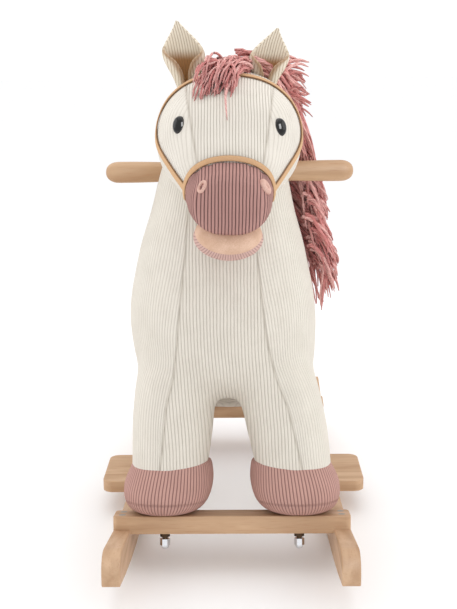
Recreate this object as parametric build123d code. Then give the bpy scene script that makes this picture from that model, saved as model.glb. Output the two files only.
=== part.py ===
from build123d import *
from math import asin, atan2, cos, degrees, radians, sin, sqrt
import os

# A plush rocking horse on a beech rocker base. Millimetres, +Z up.
# The horse faces -Y, and +X is its rider's left.
# The origin is on the floor, under the middle of the base.

# Rocker base
base_width = 270
runner_thickness = 20
rocker_radius = 1420
runner_half_length = 337.5
runner_waist = 31           # height of a runner at mid-length
runner_top_radius = 1113
straight_from = 230         # past here a runner's top edge is straight
nose_radius = 22

# Cross slats, let over the runners
slat_width = 35
slat_thickness = 20
slat_notch = 4
slat_corner = 6
front_slat_y = -213
rear_slat_y = 213

# Footrests, one centred on each runner
footrest_width = 88
footrest_depth = 98
footrest_thickness = 14.6
footrest_y = -8
footrest_bottom = 30
footrest_corner = 13

# Fasteners
screw_head_radius = 4
screw_head_depth = 3
screw_shank_radius = 2
screw_length = 34
bolt_radius = 3
bolt_in_post = 34
washer_radius = 9
washer_thickness = 1.6
nut_across_flats = 10
lock_nut_height = 5.2
thread_showing = 2.4
cap_nut_hex_height = 7.6
cap_nut_dome_radius = 4.7
edge_break = 1.5

# Frame inside the plush
post_radius = 14
hoof_x = 77                 # post foot, sideways from the middle
post_top_x = 58
post_top_y = 158
spine_bottom = 222
spine_thickness = 18
spine_length = 380
spine_width = 150
neck_board_thickness = 20
neck_board_depth = 84
neck_board_top = 505

# Handle
handle_y = -130
handle_z = 450
handle_length = 282
handle_end_radius = 12
handle_mid_radius = 10.6

# Plush horse
seat_z = 325
belly_z = 152
torso_half_width = 108
hoof_height = 66
hoof_radius = 51
hoof_inward = 14            # a hoof's middle lies this far behind its bolt
head_centre = (0, -168, 472)
head_radii = (78, 110, 76)
head_tilt = 36
muzzle_centre = (0, -252, 440)
muzzle_radii = (46, 52, 38)
strap_thickness = 3
strap_width = 13
brow_z = 525                # the browband starts above this height


def runner_profile():
    """Half outline of a runner, in Y and Z, mirrored about the middle."""
    top_centre = runner_waist + runner_top_radius
    slope = asin(straight_from / runner_top_radius)
    knee = (straight_from, top_centre - runner_top_radius * cos(slope))
    end = runner_half_length
    toe = (end, rocker_radius - sqrt(rocker_radius**2 - end**2))
    nose_y = end - nose_radius
    run = (nose_y - knee[0] - nose_radius * sin(slope)) / cos(slope)
    crest = (knee[0] + run * cos(slope), knee[1] + run * sin(slope))
    nose_z = crest[1] - nose_radius * cos(slope)
    bevel = radians(45)
    shoulder = (nose_y + nose_radius * sin(bevel), nose_z + nose_radius * cos(bevel))
    cheek = (end, nose_z)
    half = [
        Line(knee, crest),
        ThreePointArc(crest, shoulder, cheek),
        Line(cheek, toe),
    ]
    other = [mirror(edge, Plane.YZ) for edge in half]
    top = ThreePointArc(knee, (0, runner_waist), (-knee[0], knee[1]))
    bottom = ThreePointArc(toe, (0, 0), (-toe[0], toe[1]))
    return make_face([top, bottom] + half + other)


def runner(side):
    """One curved beech runner, standing on its long arc."""
    middle = side * (base_width - runner_thickness) / 2
    face = Plane.YZ * runner_profile()
    bar = Pos(middle - runner_thickness / 2, 0, 0) * extrude(face, runner_thickness)
    outer = bar.faces().sort_by(Axis.X)
    rims = outer[0].edges() + outer[-1].edges()
    return fillet(rims.filter_by(GeomType.CIRCLE), edge_break)


def slat_place(y):
    """Where a slat's seat on the runners is, and how it is tipped."""
    tip = asin(y / runner_top_radius)
    z = runner_waist + runner_top_radius * (1 - cos(tip))
    return Pos(0, y, z) * Rot(degrees(tip), 0, 0)


def slat(y):
    """A cross slat with rounded corners, before its ends are let over the runners."""
    board = Box(base_width, slat_width, slat_thickness)
    board = fillet(board.edges().filter_by(Axis.Z), slat_corner)
    board = fillet(board.faces().sort_by(Axis.Z)[-1].edges(), edge_break)
    return slat_place(y) * Pos(0, 0, slat_thickness / 2 - slat_notch) * board


def footrest(side):
    """A foot board, flat in a seat cut in its runner."""
    board = Box(footrest_width, footrest_depth, footrest_thickness)
    board = fillet(board.edges().filter_by(Axis.Z), footrest_corner)
    board = fillet(board.faces().sort_by(Axis.Z)[-1].edges(), edge_break)
    middle = side * (base_width - runner_thickness) / 2
    return Pos(middle, footrest_y, footrest_bottom + footrest_thickness / 2) * board


def wood_screw(length=screw_length):
    """A countersunk screw, its head level with z = 0 and its tip below."""
    shank_end = -length + screw_shank_radius * 2
    outline = Polyline(
        (0, 0),
        (screw_head_radius, 0),
        (screw_shank_radius, -screw_head_depth),
        (screw_shank_radius, shank_end),
        (0, -length),
        close=True,
    )
    return revolve(Plane.XZ * make_face(outline), Axis.Z)


def slat_screws(y):
    """Two screws through each end of a slat into the runner under it."""
    x = (base_width - runner_thickness) / 2
    top = slat_thickness - slat_notch
    spots = [(side * x, along) for side in (-1, 1) for along in (-8, 8)]
    return [slat_place(y) * Pos(px, py, top) * wood_screw() for px, py in spots]


def footrest_screws():
    """Two screws through each footrest into its runner."""
    x = (base_width - runner_thickness) / 2
    top = footrest_bottom + footrest_thickness
    spots = [(side * x, along) for side in (-1, 1) for along in (-33, 33)]
    return [Pos(px, footrest_y + py, top) * wood_screw() for px, py in spots]


def hoof_places():
    """The four spots on the slats' top faces where a leg post stands."""
    top = slat_thickness - slat_notch
    return {
        "front_left": slat_place(front_slat_y) * Pos(hoof_x, 0, top),
        "front_right": slat_place(front_slat_y) * Pos(-hoof_x, 0, top),
        "rear_left": slat_place(rear_slat_y) * Pos(hoof_x, 0, top),
        "rear_right": slat_place(rear_slat_y) * Pos(-hoof_x, 0, top),
    }


def hoof_bolt():
    """A hanger bolt: up into the post, down through the slat to the nut."""
    below = slat_thickness + washer_thickness + lock_nut_height + thread_showing + cap_nut_hex_height
    return Pos(0, 0, -below) * extrude(Circle(bolt_radius), bolt_in_post + below)


def hoof_washer():
    """A plain washer against the slat's underside."""
    ring = Circle(washer_radius) - Circle(bolt_radius)
    return Pos(0, 0, -slat_thickness - washer_thickness) * extrude(ring, washer_thickness)


def hexagon(height):
    """A hexagonal block for a nut, with its bolt hole."""
    outline = RegularPolygon(nut_across_flats / 2, 6, major_radius=False) - Circle(bolt_radius)
    return extrude(outline, height)


def lock_nut():
    """A plain nut, tight against the washer."""
    top = -slat_thickness - washer_thickness
    return Pos(0, 0, top - lock_nut_height) * hexagon(lock_nut_height)


def cap_nut():
    """A nut closed by a dome, on the bolt's end."""
    top = -slat_thickness - washer_thickness - lock_nut_height - thread_showing
    radius = cap_nut_dome_radius
    dome = Sphere(radius) & Pos(0, 0, -radius) * Box(20, 20, 2 * radius)
    return Pos(0, 0, top - cap_nut_hex_height) * (hexagon(cap_nut_hex_height) + dome)


def post_top(place):
    """The middle of a post's upper end, at the spine board's underside."""
    foot = place.position
    x = post_top_x if foot.X > 0 else -post_top_x
    y = post_top_y if foot.Y > 0 else -post_top_y
    return Vector(x, y, spine_bottom)


def along_post(place, radius, start, stop):
    """A round bar on a post's line, between two heights."""
    foot = place.position
    line = post_top(place) - foot
    low = foot + line * ((start - foot.Z) / line.Z)
    high = foot + line * ((stop - foot.Z) / line.Z)
    bar = Plane(origin=low, z_dir=line) * Circle(radius)
    return extrude(bar, (high - low).length)


def leg_post(place):
    """A beech dowel from a slat to the spine board, cut square to both."""
    bar = along_post(place, post_radius, 30, spine_bottom + 30)
    above_slat = place * Pos(0, 0, 150) * Box(120, 120, 300)
    below_board = Pos(0, 0, spine_bottom / 2) * Box(400, 700, spine_bottom)
    return bar & above_slat & below_board


def spine_board():
    """The board under the rider, carried by the four posts."""
    board = Box(spine_width, spine_length, spine_thickness)
    board = fillet(board.edges().filter_by(Axis.Z), 45)
    return Pos(0, 0, spine_bottom + spine_thickness / 2) * board


def neck_board():
    """The upright that holds the handle, on edge on the spine board."""
    foot = spine_bottom + spine_thickness
    height = neck_board_top - foot
    board = Box(neck_board_thickness, neck_board_depth, height)
    crown = board.edges().filter_by(Axis.X).group_by(Axis.Z)[-1]
    board = fillet(crown, 30)
    return Pos(0, handle_y, foot + height / 2) * board


def frame_screws():
    """Screws down into the posts, and up into the neck board."""
    top = spine_bottom + spine_thickness
    screws = []
    for place in hoof_places().values():
        spot = post_top(place)
        screws.append(Pos(spot.X, spot.Y, top) * wood_screw(45))
    for along in (-26, 26):
        turned = Pos(0, handle_y + along, spine_bottom) * Rot(180, 0, 0)
        screws.append(turned * wood_screw(45))
    return screws


def handle_bar():
    """A turned bar, thickest near its domed ends."""
    half = handle_length / 2
    swell = half - 22
    outline = [
        Spline(
            (handle_mid_radius, 0),
            (handle_mid_radius + 0.3, swell / 2),
            (handle_end_radius, swell),
            tangents=((0, 1), (0, 1)),
        ),
        Spline(
            (handle_end_radius, swell),
            (handle_end_radius - 1.5, half - 7),
            (0, half),
            tangents=((0, 1), (-1, 0)),
        ),
    ]
    closing = [Line((0, half), (0, 0)), Line((0, 0), (handle_mid_radius, 0))]
    turned = revolve(Plane.XZ * make_face(outline + closing), Axis.Z)
    both = turned + mirror(turned, Plane.XY)
    return Pos(0, handle_y, handle_z) * Rot(0, 90, 0) * both


def handle_lock_screw():
    """The screw through the neck board's rear edge that stops the bar turning."""
    rear = handle_y + neck_board_depth / 2
    return Pos(0, rear, handle_z) * Rot(-90, 0, 0) * wood_screw(neck_board_depth / 2 + 4)


def egg(centre, radii, tilt=0):
    """An ellipsoid, tipped about X by tilt degrees."""
    return Pos(*centre) * Rot(tilt, 0, 0) * scale(Sphere(1), by=radii)


def section(y, half_width, low, high):
    """An upright oval across the body."""
    middle = Plane(origin=(0, y, (low + high) / 2), x_dir=(1, 0, 0), z_dir=(0, -1, 0))
    return middle * Ellipse(half_width, (high - low) / 2)


def torso():
    """The stuffed barrel, from chest to rump."""
    wide = torso_half_width
    return loft([
        section(-221, 38, 222, 300),
        section(-208, 70, 192, 336),
        section(-165, 101, 165, 368),
        section(-110, wide, belly_z, 372),
        section(-40, wide, belly_z, 340),
        section(60, wide, belly_z, seat_z),
        section(150, 100, 158, 322),
        section(200, 66, 184, 300),
        section(214, 34, 212, 272),
    ])


def level_oval(x, y, z, half_x, half_y):
    """A flat oval at one height."""
    return Plane(origin=(x, y, z)) * Ellipse(half_x, half_y)


def neck():
    """The stuffed neck, rising from the chest into the head."""
    return loft([
        level_oval(0, -124, 322, 100, 82),
        level_oval(0, -128, 364, 95, 80),
        level_oval(0, -134, 404, 82, 76),
        level_oval(0, -138, 452, 72, 68),
        level_oval(0, -140, 484, 64, 60),
    ])


def leg(place):
    """A stuffed leg around a post, from the hoof up into the body."""
    foot = place.position
    line = post_top(place) - foot
    inward = -hoof_inward if foot.Y > 0 else hoof_inward
    ovals = []
    for height, half_x, half_y in ((104, 43, 43), (150, 47, 48), (195, 48, 54), (236, 40, 56)):
        rise = (height - foot.Z) / line.Z
        spot = foot + line * rise
        ovals.append(level_oval(spot.X, spot.Y + inward * (1 - rise), height, half_x, half_y))
    return loft(ovals)


def hoof(place):
    """A padded hoof, its sole flat on the slat."""
    inward = -hoof_inward if place.position.Y > 0 else hoof_inward
    block = extrude(Circle(hoof_radius), hoof_height)
    block = fillet(block.edges().group_by(Axis.Z)[0], 12)
    block = fillet(block.edges().group_by(Axis.Z)[-1], 4)
    return place * Pos(0, inward, 0) * block


def face_point(x, z):
    """The point of the head's front at a sideways place and a height."""
    lean = radians(head_tilt)
    wide, long, deep = head_radii
    up = z - head_centre[2]
    a = (cos(lean) / long) ** 2 + (sin(lean) / deep) ** 2
    b = up * sin(lean) * cos(lean) * (1 / long**2 - 1 / deep**2)
    c = (up * sin(lean) / long) ** 2 + (up * cos(lean) / deep) ** 2 + (x / wide) ** 2 - 1
    return (x, head_centre[1] + (-b - sqrt(b * b - a * c)) / a, z)


def eye_place(side):
    """Middle of an eye's seat on the head, looking outward."""
    return Plane(origin=face_point(side * 57, 506), z_dir=(side * 0.66, -0.72, 0.2))


def eye(side):
    """A glossy oval button with its stem."""
    dome = scale(Sphere(1), by=(6.6, 9, 6))
    stem = Pos(0, 0, -9) * Cylinder(2.5, 14)
    return eye_place(side) * (dome + stem)


def eye_washer(side):
    """The ring that locks an eye's stem behind the cloth."""
    return eye_place(side) * Pos(0, 0, -11) * (Cylinder(10, 2) - Cylinder(2.5, 2))


def nostril(side):
    """A raised oval ring on the side of the muzzle."""
    place = Plane(origin=(side * 33, -288, 445), z_dir=(side * 0.72, -0.66, 0.1))
    ring = scale(Torus(6, 2.4), by=(1, 1.25, 1))
    return place * ring


def ear(side):
    """A leaf-shaped ear standing on the poll."""
    leaf = scale(Sphere(1), by=(23, 10, 46))
    return Pos(side * 50, -148, 571) * Rot(-7, side * 3, 0) * leaf


def mouth_lining():
    """The soft lining between the lips."""
    return egg((0, -254, 397), (35, 39, 14), 8)


def lower_lip():
    """The padded lower lip, under the lining."""
    return egg((0, -252, 388), (37, 42, 14), 8)


def forelock():
    """A bunch of yarn over the forehead."""
    return egg((-12, -222, 540), (24, 14, 46), -34)


def mane():
    """Yarn along the crest of the neck, falling on the rider's left."""
    crest = egg((20, -112, 545), (44, 44, 44))
    fall = egg((80, -104, 432), (46, 50, 112))
    return crest + fall


def tail():
    """A bunch of yarn from the top of the rump."""
    return egg((0, 226, 232), (26, 20, 84), -4)


def bridle_loop():
    """The strap round the face, over the cheeks and across the brow."""
    grown = tuple(radius + strap_thickness for radius in head_radii)
    slab = Pos(0, -194, 499) * Rot(-26, 0, 0) * Box(300, strap_width, 300)
    return egg(head_centre, grown, head_tilt) & slab


def noseband():
    """The strap round the muzzle."""
    grown = tuple(radius + strap_thickness for radius in muzzle_radii)
    slab = Pos(0, -254, 440) * Rot(-6, 0, 0) * Box(200, strap_width, 200)
    return egg(muzzle_centre, grown) & slab


def cut_clear(shape, others):
    """A shape with its neighbours' space removed, as one solid."""
    for other in others:
        shape = shape - other
    return max(shape.solids(), key=lambda solid: solid.volume)


def base_nodes():
    """Runners, slats, footrests and their fasteners."""
    places = hoof_places().values()
    foot_boards = {"left": footrest(1), "right": footrest(-1)}
    front_screws = slat_screws(front_slat_y)
    rear_screws = slat_screws(rear_slat_y)
    board_screws = footrest_screws()
    bolts = [place * hoof_bolt() for place in places]
    nodes = {}
    for name, side in (("left", 1), ("right", -1)):
        board = foot_boards[name]
        in_runner = front_screws + rear_screws + board_screws
        nodes[name + "_runner"] = cut_clear(runner(side), [board] + in_runner)
        nodes[name + "_footrest"] = cut_clear(board, board_screws)
    bars = [runner(1), runner(-1)]
    nodes["front_slat"] = cut_clear(slat(front_slat_y), bars + front_screws + bolts)
    nodes["rear_slat"] = cut_clear(slat(rear_slat_y), bars + rear_screws + bolts)
    nodes["front_slat_screws"] = Compound(front_screws)
    nodes["rear_slat_screws"] = Compound(rear_screws)
    nodes["footrest_screws"] = Compound(board_screws)
    nodes["hoof_bolts"] = Compound(bolts)
    nodes["hoof_washers"] = Compound([place * hoof_washer() for place in places])
    nodes["hoof_lock_nuts"] = Compound([place * lock_nut() for place in places])
    nodes["hoof_cap_nuts"] = Compound([place * cap_nut() for place in places])
    return nodes


def frame_nodes():
    """The wooden frame inside the plush, and the handle."""
    screws = frame_screws()
    bolts = [place * hoof_bolt() for place in hoof_places().values()]
    bar = handle_bar()
    lock = handle_lock_screw()
    nodes = {"spine_board": cut_clear(spine_board(), screws)}
    nodes["neck_board"] = cut_clear(neck_board(), screws + [bar, lock])
    nodes["handle_bar"] = cut_clear(bar, [lock])
    nodes["handle_lock_screw"] = lock
    nodes["frame_screws"] = Compound(screws)
    for name, place in hoof_places().items():
        nodes[name + "_leg_post"] = cut_clear(leg_post(place), screws + bolts)
    return nodes


def plush_nodes():
    """The stuffed pieces, each cut clear of the frame and of its neighbours."""
    top = spine_bottom + spine_thickness / 2
    posts = [along_post(place, post_radius, 30, top) for place in hoof_places().values()]
    boards = [spine_board(), neck_board()]
    bar = handle_bar()
    bars = [slat(front_slat_y), slat(rear_slat_y)]
    eyes = {"right_eye": eye(-1), "left_eye": eye(1)}
    washers = [eye_washer(-1), eye_washer(1)]
    body = torso()
    skull = egg(head_centre, head_radii, head_tilt)
    nodes = {"torso": cut_clear(body, boards + posts)}
    nodes["head"] = cut_clear(skull, boards[1:] + [bar] + list(eyes.values()) + washers)
    nodes["neck"] = cut_clear(neck(), [body, skull, bar] + boards)
    nose = egg(muzzle_centre, muzzle_radii)
    nodes["muzzle"] = cut_clear(nose, [skull])
    lining = mouth_lining()
    nodes["mouth_lining"] = cut_clear(lining, [nose, skull])
    nodes["lower_lip"] = cut_clear(lower_lip(), [lining, skull, nose])
    nodes.update(eyes)
    nodes["eye_washers"] = Compound(washers)
    for name, side in (("left", 1), ("right", -1)):
        nodes[name + "_nostril"] = cut_clear(nostril(side), [nose])
        nodes[name + "_ear"] = cut_clear(ear(side), [skull])
    for name, place in hoof_places().items():
        shape = hoof(place)
        nodes[name + "_hoof"] = cut_clear(shape, posts + bars)
        nodes[name + "_leg"] = cut_clear(leg(place), [shape, body] + posts)
    return nodes


def yarn_nodes():
    """Forelock, mane and tail, clear of what they are sewn to."""
    skull = egg(head_centre, head_radii, head_tilt)
    ears = [ear(1), ear(-1)]
    return {
        "forelock": cut_clear(forelock(), [skull, bridle_loop()] + ears),
        "mane": cut_clear(mane(), [skull, neck(), torso(), handle_bar()] + ears),
        "tail": cut_clear(tail(), [torso()]),
    }


def tack_nodes():
    """The bridle's bands, lying on the head."""
    skull = egg(head_centre, head_radii, head_tilt)
    nose = egg(muzzle_centre, muzzle_radii)
    trims = [skull, nose, mane(), mouth_lining(), lower_lip(), eye(1), eye(-1)]
    band = noseband()
    loop = bridle_loop()
    brow_cut = Pos(0, -200, brow_z + 100) * Box(300, 300, 200)
    left_cut = Pos(100, -200, brow_z - 100) * Box(200, 300, 200)
    right_cut = Pos(-100, -200, brow_z - 100) * Box(200, 300, 200)
    return {
        "noseband": cut_clear(band, trims),
        "browband": cut_clear(loop & brow_cut, trims + [ear(1), ear(-1)]),
        "left_cheek_strap": cut_clear(loop & left_cut, trims + [band]),
        "right_cheek_strap": cut_clear(loop & right_cut, trims + [band]),
    }


if __name__ == "__main__":
    os.makedirs("parts", exist_ok=True)
    model = base_nodes() | frame_nodes() | plush_nodes() | yarn_nodes() | tack_nodes()
    for node_name, shape in model.items():
        export_step(shape, f"parts/{node_name}.step")
        print(node_name, round(shape.volume))
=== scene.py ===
import bpy
import numpy as np
from math import cos, radians, sin
from mathutils import Matrix, Vector


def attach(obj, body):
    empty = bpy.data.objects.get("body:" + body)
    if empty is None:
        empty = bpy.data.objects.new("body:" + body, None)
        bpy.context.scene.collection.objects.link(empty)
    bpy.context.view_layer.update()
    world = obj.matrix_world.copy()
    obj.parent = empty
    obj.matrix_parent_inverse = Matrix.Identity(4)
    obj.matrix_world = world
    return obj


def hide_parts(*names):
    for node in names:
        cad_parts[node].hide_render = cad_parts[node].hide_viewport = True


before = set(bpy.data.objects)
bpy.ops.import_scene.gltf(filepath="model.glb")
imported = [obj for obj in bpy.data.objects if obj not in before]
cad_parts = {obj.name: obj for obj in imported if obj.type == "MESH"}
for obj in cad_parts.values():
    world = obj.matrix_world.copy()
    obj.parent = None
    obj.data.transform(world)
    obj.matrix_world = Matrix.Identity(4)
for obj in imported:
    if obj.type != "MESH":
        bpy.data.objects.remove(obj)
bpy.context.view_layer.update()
scene = bpy.context.scene
root = "root"
mm = 0.001
lean = 0.0095    # the stuffed body leans this far to its right at the chest


def aimCamera():
    view = {"place": (0.01487, -1.37893, 0.57666), "down": 12.74, "yaw": 0.803, "roll": 0.585, "lens": 64.54}
    camera = bpy.data.objects.new("camera", bpy.data.cameras.new("camera"))
    scene.collection.objects.link(camera)
    camera.data.lens = view["lens"]
    camera.data.sensor_width = 36
    down, yaw, roll = radians(view["down"]), radians(view["yaw"]), radians(view["roll"])
    forward = Vector((-sin(yaw) * cos(down), cos(yaw) * cos(down), -sin(down)))
    level = Vector((cos(yaw), sin(yaw), 0))
    upright = level.cross(forward)
    right = level * cos(roll) - upright * sin(roll)
    up = level * sin(roll) + upright * cos(roll)
    turn = Matrix((right, up, -forward)).transposed().to_4x4()
    camera.matrix_world = Matrix.Translation(view["place"]) @ turn
    scene.camera = camera


def addLight(name, place, aim, size, power, tint):
    data = bpy.data.lights.new(name, "AREA")
    data.shape = "RECTANGLE"
    data.size, data.size_y = size
    data.energy = power
    data.color = tint
    light = bpy.data.objects.new(name, data)
    light.location = place
    light.rotation_euler = (Vector(aim) - Vector(place)).to_track_quat("-Z", "Y").to_euler()
    scene.collection.objects.link(light)


def lightStudio():
    white = (1.0, 1.0, 1.0)
    addLight("leftSoftbox", (-1.8, 0.0, 1.2), (0, -0.1, 0.3), (1.3, 1.6), 6, white)
    addLight("rightSoftbox", (1.8, -0.3, 1.2), (0, -0.1, 0.3), (1.3, 1.6), 7, white)
    addLight("topSoftbox", (0, 0.2, 2.1), (0, 0, 0.2), (2.0, 2.0), 7, white)
    # a bright card that only glossy things mirror
    addLight("catchCard", (0.75, -1.5, 1.3), (0, -0.2, 0.5), (0.9, 1.1), 45, white)
    scene.objects["catchCard"].visible_diffuse = False
    scene.world = scene.world or bpy.data.worlds.new("studio")
    scene.world.use_nodes = True
    sky = scene.world.node_tree.nodes["Background"]
    sky.inputs["Color"].default_value = (1, 1, 1, 1)
    sky.inputs["Strength"].default_value = 1.05
    scene.view_settings.view_transform = "Standard"


# sRGB hex to linear, with full opacity
def colour(hexText):
    parts = [int(hexText[i:i + 2], 16) / 255 for i in (1, 3, 5)]
    return [p / 12.92 if p <= 0.04045 else ((p + 0.055) / 1.055) ** 2.4 for p in parts] + [1.0]


def startMaterial(name):
    material = bpy.data.materials.new(name)
    material.use_nodes = True
    return material


# adds one node, sets its settings, then its inputs, each a value or another node's output
def addNode(material, kind, inputs=None, **settings):
    node = material.node_tree.nodes.new(kind)
    for name, value in settings.items():
        setattr(node, name, value)
    for name, value in (inputs or {}).items():
        if isinstance(value, bpy.types.NodeSocket):
            material.node_tree.links.new(value, node.inputs[name])
        else:
            node.inputs[name].default_value = value
    return node


def addMath(material, operation, *values):
    return addNode(material, "ShaderNodeMath", dict(enumerate(values)), operation=operation).outputs[0]


# where a point lies on its own piece, in metres
def ownPlace(material):
    return addNode(material, "ShaderNodeTexCoord").outputs["Object"]


def readFrom(material, attribute):
    return addNode(material, "ShaderNodeAttribute", attribute_name=attribute).outputs["Fac"]


def addNoise(material, place, scale, detail=2.0):
    return addNode(material, "ShaderNodeTexNoise",
                   {"Vector": place, "Scale": scale, "Detail": detail}).outputs["Fac"]


# a value spread from one range over another
def addRange(material, value, fromMin=0.0, fromMax=1.0, toMin=0.0, toMax=1.0):
    inputs = {"Value": value, "From Min": fromMin, "From Max": fromMax, "To Min": toMin, "To Max": toMax}
    return addNode(material, "ShaderNodeMapRange", inputs).outputs[0]


# the first colour where share is 0 and the second where it is 1
def mixColours(material, share, first, second):
    return addNode(material, "ShaderNodeMix", {0: share, 6: first, 7: second}, data_type="RGBA").outputs[2]


def finishMaterial(material, values):
    shader = material.node_tree.nodes["Principled BSDF"]
    for name, value in values.items():
        if isinstance(value, bpy.types.NodeSocket):
            material.node_tree.links.new(value, shader.inputs[name])
        else:
            shader.inputs[name].default_value = value
    return material


# Corduroy: cut pile in rounded wales along the cloth, so the eye sees fine lines that the light rakes.
# The mesh says where the wales are: attribute wale is the distance across them in mm on a side panel,
# across is the same on a middle panel, and seam is under 0 on the middle panel and 0 on the stitching.
def makeCorduroy(name, ridge, groove, pitch, depth, contrast, litSideShare=1.0):
    material = startMaterial(name)
    side = readFrom(material, "wale")
    middle = readFrom(material, "across")
    seam = readFrom(material, "seam")
    place = ownPlace(material)
    wobble = addNoise(material, place, 26.0, 2.0)
    onSide = addMath(material, "GREATER_THAN", seam, 0.0)
    across = addNode(material, "ShaderNodeMix", {0: onSide, 2: middle, 3: side}, data_type="FLOAT").outputs[0]
    drift = addMath(material, "MULTIPLY_ADD", wobble, pitch * 0.55, across)
    turns = addMath(material, "MULTIPLY", drift, np.pi / pitch)
    swing = addMath(material, "SINE", turns)
    arch = addMath(material, "ABSOLUTE", swing)
    wale = addMath(material, "POWER", arch, 0.62)
    pile = addNoise(material, place, 1300.0, 3.0)
    patch = addNoise(material, place, 45.0, 3.0)
    # stitching draws the cloth in over about 3 mm
    offSeam = addMath(material, "ABSOLUTE", seam)
    flat = addRange(material, offSeam, fromMin=0.0, fromMax=2.2)
    # painted light: the side panels' grooves are painted less dark than the middle panel's, standing in for
    # the strong light on the flanks
    lowest = addNode(material, "ShaderNodeMix",
                     {0: onSide, 2: 1.0 - contrast, 3: 1.0 - contrast * litSideShare},
                     data_type="FLOAT").outputs[0]
    shade = addNode(material, "ShaderNodeMapRange",
                    {"Value": wale, "From Min": 0.15, "From Max": 0.85, "To Min": lowest, "To Max": 1.0},
                    interpolation_type="SMOOTHSTEP").outputs[0]
    worn = addRange(material, patch, toMin=0.86, toMax=1.1)
    fuzz = addRange(material, pile, toMin=0.84, toMax=1.14)
    # painted shade: the cloth is darkened towards the seams, standing in for the shade in their creases
    seamShade = addRange(material, flat, toMin=0.62, toMax=1.0)
    shade = addMath(material, "MULTIPLY", shade, worn)
    shade = addMath(material, "MULTIPLY", shade, fuzz)
    shade = addNode(material, "ShaderNodeMath", {0: shade, 1: seamShade}, operation="MULTIPLY",
                    use_clamp=True).outputs[0]
    # the grooves between the wales are painted darker: mostly painted shade down in them, with the thinner
    # pile there
    tint = mixColours(material, shade, colour(groove), colour(ridge))
    # painted shade: a warm brown where the mesh's hollow attribute marks shade, in the ears' folds
    hollow = readFrom(material, "hollow")
    tint = mixColours(material, hollow, tint, colour("#9a6f46"))
    rise = addMath(material, "MULTIPLY_ADD", pile, 0.22, wale)
    rise = addMath(material, "MULTIPLY_ADD", flat, 1.1, rise)
    bump = addNode(material, "ShaderNodeBump", {"Height": rise, "Distance": depth * mm, "Strength": 1.0})
    return finishMaterial(material, {
        "Base Color": tint, "Normal": bump.outputs["Normal"], "Roughness": 0.95,
        "Sheen Weight": 0.35, "Sheen Roughness": 0.5, "Sheen Tint": colour(ridge),
        "Specular IOR Level": 0.15})


# Beech, planed and oiled: pale and even, with short dark flecks along the grain and soft broad bands.
def makeBeech(name, grain, pale, dark):
    material = startMaterial(name)
    place = ownPlace(material)
    fine = [1.0 if axis == grain else 26.0 for axis in "XYZ"]
    broad = [1.0 if axis == grain else 7.0 for axis in "XYZ"]
    flecks = addNode(material, "ShaderNodeMapping", {"Vector": place, "Scale": [v * 38 for v in fine]})
    bands = addNode(material, "ShaderNodeMapping", {"Vector": place, "Scale": [v * 7 for v in broad]})
    fleck = addNode(material, "ShaderNodeTexNoise",
                    {"Vector": flecks.outputs[0], "Scale": 1.0, "Detail": 2.0})
    band = addNode(material, "ShaderNodeTexNoise",
                   {"Vector": bands.outputs[0], "Scale": 1.0, "Detail": 4.0, "Distortion": 0.6})
    mark = addRange(material, fleck.outputs["Fac"], fromMin=0.58, fromMax=0.72)
    tone = addRange(material, band.outputs["Fac"], fromMin=0.3, fromMax=0.7)
    board = mixColours(material, tone, colour(pale), colour(dark))
    amount = addMath(material, "MULTIPLY", mark, 0.5)
    tint = mixColours(material, amount, board, colour("#a9794f"))
    rough = addRange(material, tone, toMin=0.46, toMax=0.6)
    bump = addNode(material, "ShaderNodeBump", {"Height": mark, "Distance": -0.00012, "Strength": 0.6})
    return finishMaterial(material, {
        "Base Color": tint, "Roughness": rough, "Normal": bump.outputs["Normal"],
        "Specular IOR Level": 0.4})


# Chromed steel: mirror bright, with faint rub marks.
def makeChrome():
    material = startMaterial("chromedSteel")
    place = ownPlace(material)
    rubs = addNoise(material, place, 900.0, 3.0)
    rough = addRange(material, rubs, toMin=0.08, toMax=0.22)
    return finishMaterial(material, {"Base Color": colour("#d9dadd"), "Metallic": 1.0, "Roughness": rough})


# Plated steel: dull and slightly mottled.
def makePlated(name, deep, pale):
    material = startMaterial(name)
    place = ownPlace(material)
    mottle = addNoise(material, place, 500.0, 4.0)
    tint = mixColours(material, mottle, colour(deep), colour(pale))
    return finishMaterial(material, {"Base Color": tint, "Metallic": 0.9, "Roughness": 0.42})


# Acrylic yarn, two plies twisted: soft and dry, with painted shade between the plies. Each strand has its own
# tint.
def makeYarn():
    material = startMaterial("acrylicYarn")
    tintOf = readFrom(material, "tint")
    ply = readFrom(material, "ply")
    place = ownPlace(material)
    hairs = addNoise(material, place, 1500.0, 3.0)
    twist = addMath(material, "SINE", ply)
    groove = addRange(material, twist, fromMin=-1.0, fromMax=0.2, toMin=0.66, toMax=1.0)
    fuzz = addRange(material, hairs, toMin=0.8, toMax=1.15)
    shade = addNode(material, "ShaderNodeMath", {0: groove, 1: fuzz}, operation="MULTIPLY",
                    use_clamp=True).outputs[0]
    strand = mixColours(material, tintOf, colour("#d98a87"), colour("#fac8c1"))
    tint = mixColours(material, shade, colour("#a36261"), strand)
    rise = addMath(material, "MULTIPLY_ADD", hairs, 0.5, twist)
    bump = addNode(material, "ShaderNodeBump", {"Height": rise, "Distance": 0.0006, "Strength": 0.8})
    return finishMaterial(material, {
        "Base Color": tint, "Normal": bump.outputs["Normal"], "Roughness": 0.95,
        "Sheen Weight": 0.4, "Sheen Tint": colour("#e0a8a0"), "Specular IOR Level": 0.1})


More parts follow.
